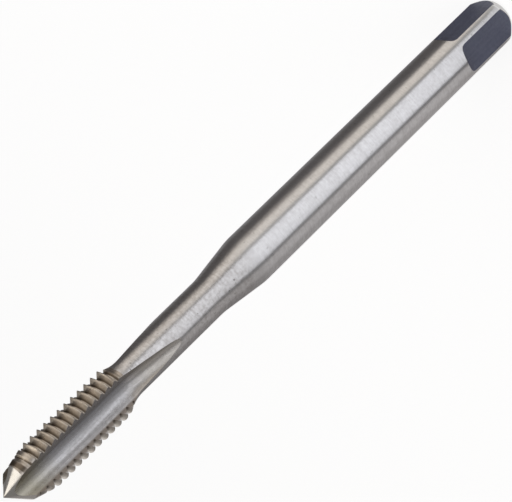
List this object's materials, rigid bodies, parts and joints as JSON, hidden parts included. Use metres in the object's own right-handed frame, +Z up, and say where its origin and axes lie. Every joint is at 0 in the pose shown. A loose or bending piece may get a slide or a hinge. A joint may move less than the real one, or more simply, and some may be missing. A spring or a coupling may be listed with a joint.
{
  "type": "thread tap",
  "caption": "Slim steel machine tap with a cone point, threaded cutting lands between straight flutes, a reduced neck, a round shank and a driving square.",
  "frame": {"origin": "centre of the flat end face, on which the tap stands", "axes": "+Z up along the axis from the driving square to the cutting point, -Y square to one flat of the square and one flute"},
  "size_m": [0.006, 0.006, 0.0823],
  "materials": {
    "tool_steel": "ground bright, blackened flats on the square"
  },
  "bodies": {
    "root": {"thread_tap": "tool_steel"}
  },
  "joints": []
}
